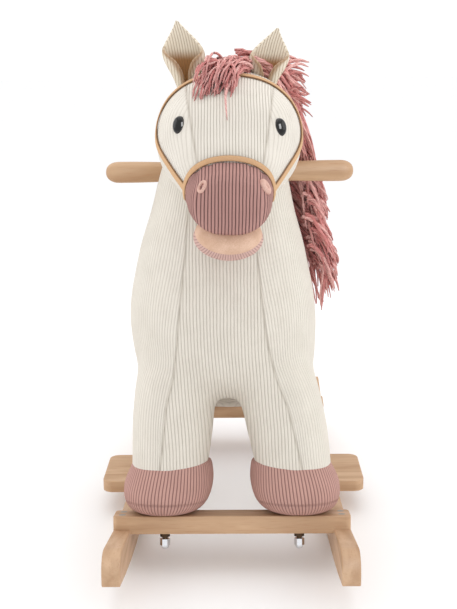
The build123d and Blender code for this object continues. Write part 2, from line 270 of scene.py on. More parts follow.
# Suede tape, folded and stitched along both edges: matt tan, and darker where each edge turns under.
def makeSuede():
    material = startMaterial("suedeTape")
    edge = readFrom(material, "edge")
    place = ownPlace(material)
    nap = addNoise(material, place, 900.0, 4.0)
    body = mixColours(material, nap, colour("#b98f66"), colour("#dcb68f"))
    turned = addRange(material, edge, fromMin=0.78, fromMax=1.0)
    tint = mixColours(material, turned, body, colour("#7d5a3c"))
    bump = addNode(material, "ShaderNodeBump", {"Height": nap, "Distance": 0.0004, "Strength": 0.5})
    return finishMaterial(material, {
        "Base Color": tint, "Normal": bump.outputs["Normal"], "Roughness": 0.85,
        "Sheen Weight": 0.3, "Sheen Tint": colour("#e8cba4"), "Specular IOR Level": 0.2})


# Short velour: even and very soft, with a faint nap.
def makeVelour(name, pale, deep):
    material = startMaterial(name)
    place = ownPlace(material)
    nap = addNoise(material, place, 1100.0, 4.0)
    strokes = addNoise(material, place, 60.0, 3.0)
    mixed = addMath(material, "MULTIPLY", nap, strokes)
    amount = addRange(material, mixed, fromMin=0.12, fromMax=0.36)
    tint = mixColours(material, amount, colour(deep), colour(pale))
    bump = addNode(material, "ShaderNodeBump", {"Height": nap, "Distance": 0.0004, "Strength": 0.5})
    return finishMaterial(material, {
        "Base Color": tint, "Normal": bump.outputs["Normal"], "Roughness": 0.95,
        "Sheen Weight": 0.6, "Sheen Tint": colour(pale), "Specular IOR Level": 0.1})


# Moulded acrylic: a glossy black dome over a smoky grey rim.
def makeEyeAcrylic():
    material = startMaterial("mouldedAcrylic")
    rim = readFrom(material, "rim")
    place = ownPlace(material)
    dust = addNoise(material, place, 1200.0, 2.0)
    ring = addRange(material, rim, fromMin=0.8, fromMax=0.97)
    tint = mixColours(material, ring, colour("#040404"), colour("#3c3836"))
    rough = addRange(material, dust, toMin=0.06, toMax=0.16)
    return finishMaterial(material, {"Base Color": tint, "Roughness": rough,
                                     "Specular IOR Level": 0.4})


# Polyamide, moulded: plain white plastic for a hidden washer.
def makePolyamide():
    material = startMaterial("mouldedPolyamide")
    place = ownPlace(material)
    grain = addNoise(material, place, 800.0)
    rough = addRange(material, grain, toMin=0.4, toMax=0.55)
    return finishMaterial(material, {"Base Color": colour("#e9e9e6"), "Roughness": rough})


# Backdrop paper: flat and pale.
def makePaper():
    material = startMaterial("backdropPaper")
    return finishMaterial(material, {"Base Color": colour("#fafafb"), "Roughness": 0.9,
                                     "Specular IOR Level": 0.1})


# a new object at the origin from points in metres and faces
def makePiece(name, points, faces, material):
    mesh = bpy.data.meshes.new(name)
    mesh.from_pydata(points.tolist(), [], faces)
    mesh.polygons.foreach_set("use_smooth", np.ones(len(mesh.polygons), dtype=bool))
    piece = bpy.data.objects.new(name, mesh)
    scene.collection.objects.link(piece)
    mesh.materials.append(material)
    return piece


# quads of a grid of rows and columns, closed round its columns if wrap is true
def gridFaces(rows, columns, wrap=True, start=0):
    r, c = np.meshgrid(np.arange(rows - 1), np.arange(columns if wrap else columns - 1), indexing="ij")
    nextC = (c + 1) % columns
    quads = np.stack([r * columns + c, r * columns + nextC, (r + 1) * columns + nextC,
                      (r + 1) * columns + c], -1)
    return (quads.reshape(-1, 4) + start).tolist()


# smooth curve through the rows of a table, whose first column is where each row lies
def smoothTable(table, at):
    table = np.asarray(table, float)
    x, y = table[:, 0], table[:, 1:]
    slopes = np.gradient(y, x, axis=0)
    i = np.clip(np.searchsorted(x, at) - 1, 0, len(x) - 2)
    h = (x[i + 1] - x[i])[:, None]
    t = ((at - x[i])[:, None]) / h
    return ((2 * t**3 - 3 * t**2 + 1) * y[i] + (t**3 - 2 * t**2 + t) * h * slopes[i]
            + (3 * t**2 - 2 * t**3) * y[i + 1] + (t**3 - t**2) * h * slopes[i + 1])


# 0 below low, 1 above high, and smooth between
def step(value, low, high):
    t = np.clip((value - low) / (high - low), 0, 1)
    return t * t * (3 - 2 * t)


# a closed tube of superellipse rings: each row of the table is a place along the axis, the ring's
# middle in the other two directions, and its two half widths, all in millimetres
def loftRings(table, axis, rings, around=48, fullness=2.2):
    table = np.asarray(table, float)
    at = np.linspace(table[0, 0], table[-1, 0], rings)
    rows = smoothTable(table, at)
    turn = np.arange(around) / around * 2 * np.pi
    bend = lambda v: np.sign(v) * np.abs(v) ** (2 / fullness)
    a = rows[:, 0:1] + rows[:, 2:3] * bend(np.cos(turn))
    b = rows[:, 1:2] + rows[:, 3:4] * bend(np.sin(turn))
    along = np.repeat(at[:, None], around, 1)
    parts = [a, b, along] if axis == "Z" else [a, along, b]
    points = np.stack(parts, -1).reshape(-1, 3)
    faces = gridFaces(rings, around)
    faces += [list(range(around))[::-1], list(range(len(points) - around, len(points)))]
    if axis == "Y":
        faces = [face[::-1] for face in faces]
    return points * mm, faces


def joinParts(parts):
    points, faces, count = [], [], 0
    for partPoints, partFaces in parts:
        points.append(partPoints)
        faces += [[index + count for index in face] for face in partFaces]
        count += len(partPoints)
    return np.concatenate(points), faces


def readPoints(piece):
    flat = np.empty(len(piece.data.vertices) * 3)
    piece.data.vertices.foreach_get("co", flat)
    return flat.reshape(-1, 3)


def writePoints(piece, points):
    piece.data.vertices.foreach_set("co", points.reshape(-1))
    piece.data.update()


def writeAttribute(piece, name, values):
    attribute = piece.data.attributes.get(name) or piece.data.attributes.new(name, "FLOAT", "POINT")
    attribute.data.foreach_set("value", np.asarray(values, np.float32))


# replaces a piece's mesh by what its modifiers make of it
def applyModifiers(piece):
    graph = bpy.context.evaluated_depsgraph_get()
    mesh = bpy.data.meshes.new_from_object(piece.evaluated_get(graph))
    piece.modifiers.clear()
    piece.data = mesh
    mesh.polygons.foreach_set("use_smooth", np.ones(len(mesh.polygons), dtype=bool))


def addModifier(piece, kind, **settings):
    modifier = piece.modifiers.new(kind.lower(), kind)
    for name, value in settings.items():
        setattr(modifier, name, value)
    return modifier


clothFrames = 20


# fills a cover: remeshed, smoothed over its joins, then blown up as cloth, each point moving at most cap
def stuff(piece, voxel, smooth, cap):
    addModifier(piece, "REMESH", mode="VOXEL", voxel_size=voxel)
    applyModifiers(piece)
    addModifier(piece, "SMOOTH", factor=0.5, iterations=smooth)
    applyModifiers(piece)
    before = readPoints(piece)
    cloth = addModifier(piece, "CLOTH")
    cloth.settings.use_pressure = True
    cloth.settings.uniform_pressure_force = 4.0
    cloth.settings.tension_stiffness = 25
    cloth.settings.compression_stiffness = 25
    cloth.settings.bending_stiffness = 2
    cloth.settings.effector_weights.gravity = 0
    cloth.collision_settings.use_collision = False
    for number in range(1, clothFrames + 1):
        scene.frame_set(number)
    applyModifiers(piece)
    scene.frame_set(1)
    move = readPoints(piece) - before
    far = np.linalg.norm(move, axis=1, keepdims=True)
    writePoints(piece, before + move * np.minimum(1, cap / np.maximum(far, 1e-9)))
    addModifier(piece, "SUBSURF", levels=1, render_levels=1)
    applyModifiers(piece)


# the body leans to its right by lean at the chest, less at the head, and not at the hooves
def leanOver(points):
    z = points[:, 2]
    points[:, 0] -= lean * step(z, 0.10, 0.30) * (1 - 0.45 * step(z, 0.33, 0.52))
    return points


# distance in mm round the trunk: round at the chest, straight along the flanks
def aroundTrunk(x, y, radius, front):
    return np.where(y < front, radius * np.arctan2(np.abs(x), front - y), radius * np.pi / 2 + y - front)


legShape = {
    # a leg's middle line is outX and outY from the toy's middle at soleZ, and comes in by the other two
    # over climb
    "soleZ": 66, "climb": 156, "outX": 77, "inX": 19, "outY": 199, "inY": 41,
    # height, half width and half depth
    "rings": ((104, 43, 45), (150, 46.5, 49), (190, 47, 53), (225, 43.5, 56), (250, 37, 48)),
    "waleRadius": 47,
}


# middle of a leg at a height: end is -1 at the front and 1 at the rear, side is 1 on the left and -1 on
# the right
def legLine(end, side, z):
    share = (z - legShape["soleZ"]) / legShape["climb"]
    return side * (legShape["outX"] - legShape["inX"] * share), end * (legShape["outY"] - legShape["inY"]
                                                                       * share)


def legRings(end, side):
    rows = [(z, *legLine(end, side, z), halfX, halfY) for z, halfX, halfY in legShape["rings"]]
    return loftRings(rows, "Z", 24)


bodyShape = {
    # height, middle, half width and half depth of chest and neck
    "column": ((193, 0, -112, 74, 62), (219, 0, -117, 101, 90), (255, 0, -119, 109, 101),
               (300, 0, -121, 109, 101), (340, 0, -123, 101, 92), (370, 0, -127, 94, 85),
               (404, 0, -131, 83, 78), (450, 0, -136, 72, 68), (486, 0, -138, 60, 58)),
    # the same for the barrel, along its length
    "barrel": ((-120, 0, 250, 104, 88), (-40, 0, 245, 107, 90), (60, 0, 240, 107, 86), (150, 0, 241, 100, 81),
               (195, 0, 243, 74, 62), (211, 0, 243, 46, 38)),
    # the wales' count goes round the chest by this radius, behind which it runs straight
    "waleRadius": 103, "waleFront": -118,
    # where the rear legs' count takes over from the trunk's
    "rearWale": 253,
    # the chest panel's half width and its lower edge's place along Y, each by height
    "panelHalf": ([66, 124, 195, 229, 268, 369, 420], [84, 80, 68, 57, 50, 39, 36]),
    "panelEdge": ([180, 230, 300], [-165, -155, -140]),
    # the rump panel: its half width and half height, its middle's height, and the Y behind which it lies
    "rump": {"half": 60, "tall": 74, "z": 235, "y": 150},
}
farFromSeam = 40    # a seam distance well past the stitching


def makeBody(cream):
    parts = [loftRings(bodyShape["column"], "Z", 60, 72), loftRings(bodyShape["barrel"], "Y", 60, 72)]
    parts += [legRings(end, side) for end in (-1, 1) for side in (-1, 1)]
    points, faces = joinParts(parts)
    piece = makePiece("bodyCover", points, faces, cream)
    stuff(piece, voxel=0.005, smooth=26, cap=0.006)
    points = readPoints(piece) / mm
    x, y, z = points.T
    side = np.where(x < 0, -1, 1)
    end = np.where(y < 0, -1, 1)
    # wales run upright: round the trunk, and round each leg's own line below
    trunk = aroundTrunk(x, y, bodyShape["waleRadius"], bodyShape["waleFront"])
    legX, legY = legLine(end, side, z)
    around = np.arctan2((x - legX) * side, (y - legY) * end)
    leg = legShape["waleRadius"] * (around + 1) + np.where(end < 0, 0, bodyShape["rearWale"])
    onLeg = (1 - step(z, 168, 236)) * (1 - step(np.abs(y - legY), 58, 84))
    wale = trunk + (leg - trunk) * onLeg
    # the middle panel of the chest, narrower at the throat, and an oval one on the rump
    half = np.interp(z, *bodyShape["panelHalf"])
    chest = np.maximum(np.abs(x) - half, y - np.interp(z, *bodyShape["panelEdge"]))
    rump = bodyShape["rump"]
    oval = rump["half"] * (np.hypot(x / rump["half"], (z - rump["z"]) / rump["tall"]) - 1)
    seam = np.where(end < 0, chest, np.where(y > rump["y"], oval, farFromSeam))
    # side wales lean in towards the seam
    wale = wale + 0.12 * (z - 300) * (1 - step(np.abs(x), 50, 90)) * step(-y, 110, 160)
    writeAttribute(piece, "wale", wale)
    writeAttribute(piece, "across", x)
    writeAttribute(piece, "seam", seam)
    writePoints(piece, leanOver(points * mm))
    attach(piece, root)
    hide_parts("torso", "neck", "front_left_leg", "front_right_leg", "rear_left_leg",
                "rear_right_leg")


hoofShape = {
    # height and half width
    "rings": ((63, 28), (67, 38), (76, 46.5), (91, 51), (108, 51), (124, 48.5), (138, 45.5)),
    # the sole: its height before it is tipped, its height on the slat, and the slat's slope
    "flatSole": 63, "sole": 65.3, "slope": 0.191,
    # the seam above the sole, the toe beyond the middle, the slant of the top, and the wales' radius
    "seamUp": 16, "toe": 47, "slant": 0.22, "waleRadius": 50,
}


def makeHoof(node, end, side, pink):
    rows = [(z, *legLine(end, side, z), half, half) for z, half in hoofShape["rings"]]
    points, faces = loftRings(rows, "Z", 40, 64)
    piece = makePiece(node + "Cover", points, faces, pink)
    stuff(piece, voxel=0.004, smooth=8, cap=0.004)
    points = readPoints(piece) / mm
    x, y, z = points.T
    # the sole follows the slat, which is tipped
    middle = end * legShape["outY"]
    floorAt = hoofShape["sole"] + (y - middle) * end * hoofShape["slope"]
    z = z + (floorAt - hoofShape["flatSole"]) * (1 - step(z, hoofShape["flatSole"], 118))
    z = np.maximum(z, floorAt + 0.3)
    legX, legY = legLine(end, side, z)
    around = hoofShape["waleRadius"] * np.arctan2((x - legX) * side, (y - legY) * end)
    writeAttribute(piece, "wale", around + 200)
    writeAttribute(piece, "across", around)
    # a seam round the sole, and the side panel everywhere
    writeAttribute(piece, "seam", np.minimum(np.abs(z - floorAt - hoofShape["seamUp"]), 30) + 0.01)
    # the top is cut at a slant, higher at the toe
    toe = middle + end * hoofShape["toe"]
    z = z - hoofShape["slant"] * np.abs(y - toe) * step(z, 88, 136)
    points = np.stack([x, y, z], -1)
    writePoints(piece, leanOver(points * mm))
    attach(piece, root)
    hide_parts(node)


headShape = {
    # along the head's line, from the back of the skull to the nose: middle y and z, half width, half height
    "rings": ((0.0, -84, 502, 8, 8), (0.07, -96, 503, 48, 46), (0.2, -125, 500, 71, 63),
              (0.36, -163, 492, 79, 70), (0.52, -198, 477, 75, 66), (0.66, -228, 457, 58, 51),
              (0.78, -252, 440, 44, 38), (0.88, -274, 434, 40.5, 32), (0.95, -291, 432, 34.5, 27),
              (0.985, -300, 431, 23, 17.5), (1.0, -303, 431, 6, 5)),
    # degrees about a point at this height, and metres to its left
    "tilt": 1.5, "tiltZ": 0.49, "shift": 0.0005,
    # how far the nose is turned, in metres
    "noseTurn": 0.003,
}


# the head is tipped a little to its left, shifted with the body, and its nose is turned a little to its left
def poseHead(points):
    points = np.atleast_2d(np.asarray(points, float))
    turn = radians(headShape["tilt"])
    x = points[:, 0] + headShape["noseTurn"] * step(-points[:, 1], 0.2, 0.29)
    z = points[:, 2] - headShape["tiltZ"]
    out = points.copy()
    out[:, 0] = x * cos(turn) + z * sin(turn) + headShape["shift"]
    out[:, 2] = -x * sin(turn) + z * cos(turn) + headShape["tiltZ"]
    return out


# point on the head's cover: share runs along its line, turn goes round it from its left over the top
def headSurface(share, turn, grow=0.0, fullness=2.15):
    share = np.asarray(share, float)
    turn = np.asarray(turn, float)
    rows = smoothTable(headShape["rings"], share)
    ahead = smoothTable(headShape["rings"], np.minimum(share + 0.01, 1.0))
    behind = smoothTable(headShape["rings"], np.maximum(share - 0.01, 0.0))
    line = ahead[:, :2] - behind[:, :2]
    line = line / np.linalg.norm(line, axis=1, keepdims=True)
    up = np.stack([line[:, 1], -line[:, 0]], -1)
    bend = lambda v: np.sign(v) * np.abs(v) ** (2 / fullness)
    x = (rows[:, 2] + grow) * bend(np.cos(turn))
    high = (rows[:, 3] + grow) * bend(np.sin(turn))
    return np.stack([x, rows[:, 0] + up[:, 0] * high, rows[:, 1] + up[:, 1] * high], -1) * mm


# a closed grid on the head's cover between two shares
def headGrid(first, last, rings, around, grow=0.0):
    share = np.linspace(first, last, rings)
    turn = np.arange(around) / around * 2 * np.pi
    points = headSurface(np.repeat(share, around), np.tile(turn, rings), grow)
    faces = [face[::-1] for face in gridFaces(rings, around)]
    ends = [list(range(around)), list(range(len(points) - around, len(points)))[::-1]]
    return points, faces + ends


def makeHead(cream):
    points, faces = headGrid(0.0, 0.81, 60, 80)
    piece = makePiece("headCover", points, faces, cream)
    stuff(piece, voxel=0.0045, smooth=4, cap=0.003)
    points = readPoints(piece) / mm
    x, y, z = points.T
    # the forehead panel, between two seams that come together towards the nose
    half = 35 + np.clip(z - 478, -10, 90) * 0.17
    seam = np.where(y < -150, np.abs(x) - half, farFromSeam)
    cheek = (-y) * 0.75 + (z - 480) * 0.35
    writeAttribute(piece, "wale", cheek)
    writeAttribute(piece, "across", x)
    writeAttribute(piece, "seam", seam)
    writePoints(piece, poseHead(points * mm))
    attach(piece, root)
    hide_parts("head")
    return piece


def makeMuzzle(pink):
    points, faces = headGrid(0.765, 1.0, 30, 72, 2.5)
    piece = makePiece("muzzleCover", points, faces, pink)
    stuff(piece, voxel=0.0035, smooth=3, cap=0.003)
    points = readPoints(piece) / mm
    x, y, z = points.T
    # wales run over the nose and bend round its sides
    writeAttribute(piece, "wale", x + np.sign(x) * step(np.abs(x), 30, 43) * (y + 290) * 0.9)
    writeAttribute(piece, "seam", np.full(len(x), farFromSeam))
    writePoints(piece, poseHead(points * mm))
    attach(piece, root)
    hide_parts("muzzle")
    return piece


# a closed egg: rings of a sphere scaled by its three radii and tipped about X
def eggGrid(centre, radii, tip=0.0, rings=28, around=40):
    down = np.linspace(0, np.pi, rings + 2)[1:-1]
    turn = np.arange(around) / around * 2 * np.pi
    x = np.outer(np.sin(down), np.cos(turn)) * radii[0]
    y = np.outer(np.sin(down), np.sin(turn)) * radii[1]
    z = np.outer(np.cos(down), np.ones(around)) * radii[2]
    points = np.stack([x, y, z], -1).reshape(-1, 3)
    points = np.concatenate([points, [[0, 0, radii[2]]], [[0, 0, -radii[2]]]])
    c, s = cos(radians(tip)), sin(radians(tip))
    points = points @ np.array([[1, 0, 0], [0, c, s], [0, -s, c]]) + centre
    faces = [face[::-1] for face in gridFaces(rings, around)]
    top, low, last = rings * around, rings * around + 1, (rings - 1) * around
    faces += [[top, i, (i + 1) % around] for i in range(around)]
    faces += [[low, last + (i + 1) % around, last + i] for i in range(around)]
    return points * mm, faces


def makeMouth(pink, velour):
    lip = {"centre": (0, -244, 392.5), "radii": (37, 42, 22), "tip": 8}
    lining = {"centre": (0, -248, 396.5), "radii": (35.5, 42.5, 21.5), "tip": 8}
    points, faces = eggGrid(lip["centre"], lip["radii"], lip["tip"])
    lipPiece = makePiece("lowerLipRoll", points, faces, pink)
    addModifier(lipPiece, "SUBSURF", levels=1, render_levels=1)
    applyModifiers(lipPiece)
    x, y, z = readPoints(lipPiece).T / mm
    writeAttribute(lipPiece, "wale", np.arctan2(x, 415 - z) * 38)
    writeAttribute(lipPiece, "across", x)
    writeAttribute(lipPiece, "seam", np.full(len(x), farFromSeam))
    points, faces = eggGrid(lining["centre"], lining["radii"], lining["tip"])
    liningPiece = makePiece("mouthVelour", points, faces, velour)
    addModifier(liningPiece, "SUBSURF", levels=1, render_levels=1)
    applyModifiers(liningPiece)
    for piece, node, slot in ((lipPiece, "lower_lip", "pink_corduroy"),
                              (liningPiece, "mouth_lining", "peach_plush")):
        writePoints(piece, poseHead(readPoints(piece)))
        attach(piece, root)
        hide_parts(node)


# nearest point of a piece and its outward direction there
def nearest(piece, point):
    _, place, normal, _ = piece.closest_point_on_mesh(Vector(point))
    return np.array(place), np.array(normal)


# a dome on an oval base, ringed from its crown out to its rim, with its own wide, up and out directions
def makeEye(name, node, side, headPiece, acrylic):
    shape = {"halfWide": 7.3, "halfHigh": 9.8, "crown": 5.6, "sunk": 1.0, "rings": 18, "around": 48,
             "seat": (side * 0.067, -0.245, 0.515), "forward": (0, -0.3, 0), "upright": (side * 0.12, 0, 1.0)}
    seat, out = nearest(headPiece, poseHead([shape["seat"]])[0])
    out = out + shape["forward"]
    out = out / np.linalg.norm(out)
    up = np.array(shape["upright"])
    up = up - out * up.dot(out)
    up = up / np.linalg.norm(up)
    wide = np.cross(up, out)
    share = np.linspace(0.02, 1, shape["rings"])
    turn = np.arange(shape["around"]) / shape["around"] * 2 * np.pi
    high = shape["crown"] * np.sqrt(np.clip(1 - share**2, 0, 1)) - shape["sunk"]
    a = np.outer(share, np.cos(turn)) * shape["halfWide"]
    b = np.outer(share, np.sin(turn)) * shape["halfHigh"]
    h = np.repeat(high[:, None], shape["around"], 1)
    points = (a[..., None] * wide + b[..., None] * up + h[..., None] * out).reshape(-1, 3) * mm + seat
    faces = gridFaces(shape["rings"], shape["around"])
    faces += [list(range(shape["around"])), list(range(len(points) - shape["around"], len(points)))[::-1]]
    piece = makePiece(name, points, faces, acrylic)
    writeAttribute(piece, "rim", np.repeat(share, shape["around"]))
    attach(piece, root)
    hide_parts(node)


# a padded ring: a round tube whose middle line is an oval on the seat
def makeNostril(name, node, place, tube, muzzlePiece, velour):
    shape = {"halfWide": 3.6, "halfHigh": 5.6, "lift": 0.3, "around": 48, "sides": 16}
    seat, out = nearest(muzzlePiece, poseHead([place])[0])
    up = np.array([0, 0, 1.0]) - out * out[2]
    up = up / np.linalg.norm(up)
    wide = np.cross(up, out)
    turn = np.arange(shape["around"])[:, None] / shape["around"] * 2 * np.pi
    ring = np.arange(shape["sides"])[None, :] / shape["sides"] * 2 * np.pi
    a = np.cos(turn) * (shape["halfWide"] + tube * np.cos(ring))
    b = np.sin(turn) * (shape["halfHigh"] + tube * np.cos(ring))
    h = tube * np.sin(ring) + shape["lift"]
    points = (a[..., None] * wide + b[..., None] * up + h[..., None] * out).reshape(-1, 3) * mm + seat
    faces = gridFaces(shape["around"], shape["sides"])
    last = (shape["around"] - 1) * shape["sides"]
    nextTo = [(j + 1) % shape["sides"] for j in range(shape["sides"])]
    faces += [[last + j, last + after, after, j] for j, after in enumerate(nextTo)]
    piece = makePiece(name, points, faces, velour)
    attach(piece, root)
    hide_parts(node)


# an ear: a leaf whose cross-section is an arc, rolled nearly shut at the base and open above
def makeEar(name, node, side, seat, tall, wideHalf, cream):
    shape = {
        "half": ((0, 0.4), (0.2, 0.64), (0.4, 0.92), (0.52, 1.0), (0.66, 0.84), (0.82, 0.46), (0.94, 0.17),
                 (1.0, 0.05)),
        "roll": ((0, 5.9), (0.3, 5.8), (0.46, 5.1), (0.55, 4.0), (0.62, 2.8), (0.7, 2.0), (0.84, 1.3),
                 (1.0, 0.8)),
        "rows": 60, "columns": 49, "thick": 0.0032,
        # the flaps' dip for each mm that they stand forward at the base
        "dip": 3 / 38,
        # at the tip: how far it stands outwards and backwards, and its turn outwards in degrees
        "outwards": 12, "backwards": 10, "turn": 1.0,
        # the seat of the base, and how far the base's back lies behind it
        "seatY": -150, "seatZ": 543, "back": 14,
    }
    v = np.linspace(0, 1, shape["rows"])
    u = np.linspace(-1, 1, shape["columns"])
    half = smoothTable(shape["half"], v) * wideHalf
    roll = smoothTable(shape["roll"], v) / 2
    radius = half / np.sin(np.minimum(roll, np.pi / 2))
    across = radius * np.sin(u[None, :] * roll)
    forward = radius * (1 - np.cos(u[None, :] * roll))
    height = np.repeat(v[:, None], shape["columns"], 1) * tall
    # the rolled flaps dip at the front, and the tip bends back a little
    aboveBase = v[:, None] > 0
    dip = forward * shape["dip"] * (1 - v[:, None]) * aboveBase
    x = across + side * shape["outwards"] * v[:, None] ** 2
    y = -forward * 0.8 + shape["back"] + shape["backwards"] * v[:, None] ** 2
    z = height - dip
    points = np.stack([x, y, z], -1).reshape(-1, 3)
    tip = radians(-side * shape["turn"])
    c, s = cos(tip), sin(tip)
    points = points @ np.array([[c, 0, s], [0, 1, 0], [-s, 0, c]])
    points += (seat, shape["seatY"], shape["seatZ"])
    piece = makePiece(name, points * mm, gridFaces(shape["rows"], shape["columns"], wrap=False), cream)
    writeAttribute(piece, "wale", across.reshape(-1))
    writeAttribute(piece, "across", np.repeat(u[None, :], shape["rows"], 0).reshape(-1) * 30)
    edge = (1 - np.abs(u[None, :])) * half
    # painted shade: the seam darkening draws a dark line along the leaf's edges, the flaps' rolled edges, in
    # the lower part and fades out above
    writeAttribute(piece, "seam", (edge + 0.3 + 4 * step(v, 0.6, 0.75)[:, None]).reshape(-1))
    # the hollow behind the flaps is in warm shadow, as are the flaps' rolled edges
    hollow = (1 - step(np.abs(u[None, :]), 0.4, 0.75)) * (1 - step(v, 0.4, 0.6))[:, None]
    rim = step(np.abs(u[None, :]), 0.84, 0.98) * (1 - step(v, 0.52, 0.62))[:, None] * 0.7
    writeAttribute(piece, "hollow", np.maximum(hollow, rim).reshape(-1))
    addModifier(piece, "SOLIDIFY", thickness=shape["thick"], offset=0.0)
    addModifier(piece, "SUBSURF", levels=1, render_levels=1)
    applyModifiers(piece)
    # only the side that faces forward is in shadow
    faceY = np.array([normal.vector.y for normal in piece.data.vertex_normals])
    dark = np.empty(len(faceY))
    piece.data.attributes["hollow"].data.foreach_get("value", dark)
    writeAttribute(piece, "hollow", dark * step(-faceY, 0.0, 0.3))
    writePoints(piece, poseHead(readPoints(piece)))
    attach(piece, root)
    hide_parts(node)


# a flat tape along a path: a rounded rectangle carried along it, its flat side against the head
def makeTape(name, node, path, width, headPiece, suede, lift=1.2):
    rings, smoothings = 72, 6
    path = np.asarray(path, float) * mm
    along = np.linspace(0, 1, len(path))
    fine = smoothTable(np.column_stack([along, path]), np.linspace(0, 1, rings))
    places, outs = [], []
    for point in poseHead(fine):
        place, out = nearest(headPiece, point)
        places.append(place)
        outs.append(out)
    places, outs = np.array(places), np.array(outs)
    for _ in range(smoothings):
        places[1:-1] = (places[:-2] + 2 * places[1:-1] + places[2:]) / 4
        outs[1:-1] = (outs[:-2] + 2 * outs[1:-1] + outs[2:]) / 4
    ahead = np.gradient(places, axis=0)
    ahead /= np.linalg.norm(ahead, axis=1, keepdims=True)
    outs -= ahead * np.sum(outs * ahead, axis=1, keepdims=True)
    outs /= np.linalg.norm(outs, axis=1, keepdims=True)
    wide = np.cross(ahead, outs)
    profile = np.array([(-1, 0), (-0.96, 0.8), (-0.8, 1.1), (-0.3, 1.25), (0.3, 1.25), (0.8, 1.1),
                        (0.96, 0.8), (1, 0), (0.9, -0.5), (0, -0.6), (-0.9, -0.5)])
    a = profile[:, 0] * width / 2 * mm
    h = (profile[:, 1] + lift) * mm
    points = places[:, None] + wide[:, None] * a[None, :, None] + outs[:, None] * h[None, :, None]
    count = len(profile)
    faces = gridFaces(len(places), count)
    faces += [list(range(count))[::-1], list(range(len(places) * count - count, len(places) * count))]
    piece = makePiece(name, points.reshape(-1, 3), faces, suede)
    writeAttribute(piece, "edge", np.tile(np.abs(profile[:, 0]), len(places)))
    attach(piece, root)
    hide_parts(node)


def makeBridle(headPiece, suede):
    wide, narrow = 9, 6
    cheek = ((47, -262, 438), (58, -240, 452), (70, -212, 474), (78, -190, 492), (77, -178, 512),
             (66, -176, 532))
    brow = ((66, -176, 532), (45, -180, 550), (22, -185, 560), (0, -187, 563), (-22, -185, 560),
            (-45, -180, 550), (-66, -176, 532))
    turn = np.linspace(radians(-12), radians(192), 9)
    arch = headSurface(np.full(9, 0.775), turn, 3.0) / mm
    makeTape("leftCheekTape", "left_cheek_strap", cheek, wide, headPiece, suede)
    makeTape("rightCheekTape", "right_cheek_strap", [(-x, y, z) for x, y, z in cheek], wide, headPiece, suede)
    makeTape("browTape", "browband", brow, wide, headPiece, suede)
    makeTape("noseTape", "noseband", arch, narrow, headPiece, suede, lift=2.2)


plyPitch = 1.7    # mm of yarn to a radian of its twist


# many strands at once: each is a tube along a curve from its root past two pulls to its tip, with its own
# wave, thinner at the end. roots, pulls and tips are one row per strand, in mm.
def makeStrands(name, node, roots, firstPull, secondPull, tips, radius, seed, yarn, rings=12, sides=5):
    random = np.random.default_rng(seed)
    count = len(roots)
    t = np.linspace(0, 1, rings)[None, :, None]
    line = ((1 - t)**3 * roots[:, None] + 3 * (1 - t)**2 * t * firstPull[:, None]
            + 3 * (1 - t) * t**2 * secondPull[:, None] + t**3 * tips[:, None])
    phase = random.uniform(0, 2 * np.pi, (count, 1, 3))
    waves = random.uniform(0.6, 1.7, (count, 1, 3))
    line = line + np.sin(t * waves * 2 * np.pi + phase) * t * random.uniform(0.4, 2.2, (count, 1, 1))
    ahead = np.gradient(line, axis=1)
    ahead /= np.linalg.norm(ahead, axis=2, keepdims=True)
    first = np.cross(ahead, np.array([0.3, 0.9, 0.2]))
    first /= np.linalg.norm(first, axis=2, keepdims=True)
    second = np.cross(ahead, first)
    thick = radius * random.uniform(0.75, 1.2, (count, 1)) * (1 - 0.72 * t[..., 0] ** 4)
    turn = np.arange(sides) / sides * 2 * np.pi
    ring = first[:, :, None] * np.cos(turn)[:, None] + second[:, :, None] * np.sin(turn)[:, None]
    points = line[:, :, None] + ring * thick[:, :, None, None]
    each = rings * sides
    one = gridFaces(rings, sides)
    one += [list(range(sides))[::-1], list(range(each - sides, each))]
    quads = np.array(one[:-2])
    faces = (quads[None] + (np.arange(count) * each)[:, None, None]).reshape(-1, 4).tolist()
    ends = np.array(one[-2:])
    faces += (ends[None] + (np.arange(count) * each)[:, None, None]).reshape(-1, sides).tolist()
    piece = makePiece(name, points.reshape(-1, 3) * mm, faces, yarn)
    length = np.linalg.norm(np.diff(line, axis=1), axis=2).sum(1)
    ply = t[..., 0] * length[:, None] / plyPitch
    ply = ply[:, :, None] + turn[None, None, :] * 2
    writeAttribute(piece, "ply", ply.reshape(-1))
    writeAttribute(piece, "tint", np.repeat(random.uniform(0, 1, count), each))
    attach(piece, root)
    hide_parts(node)


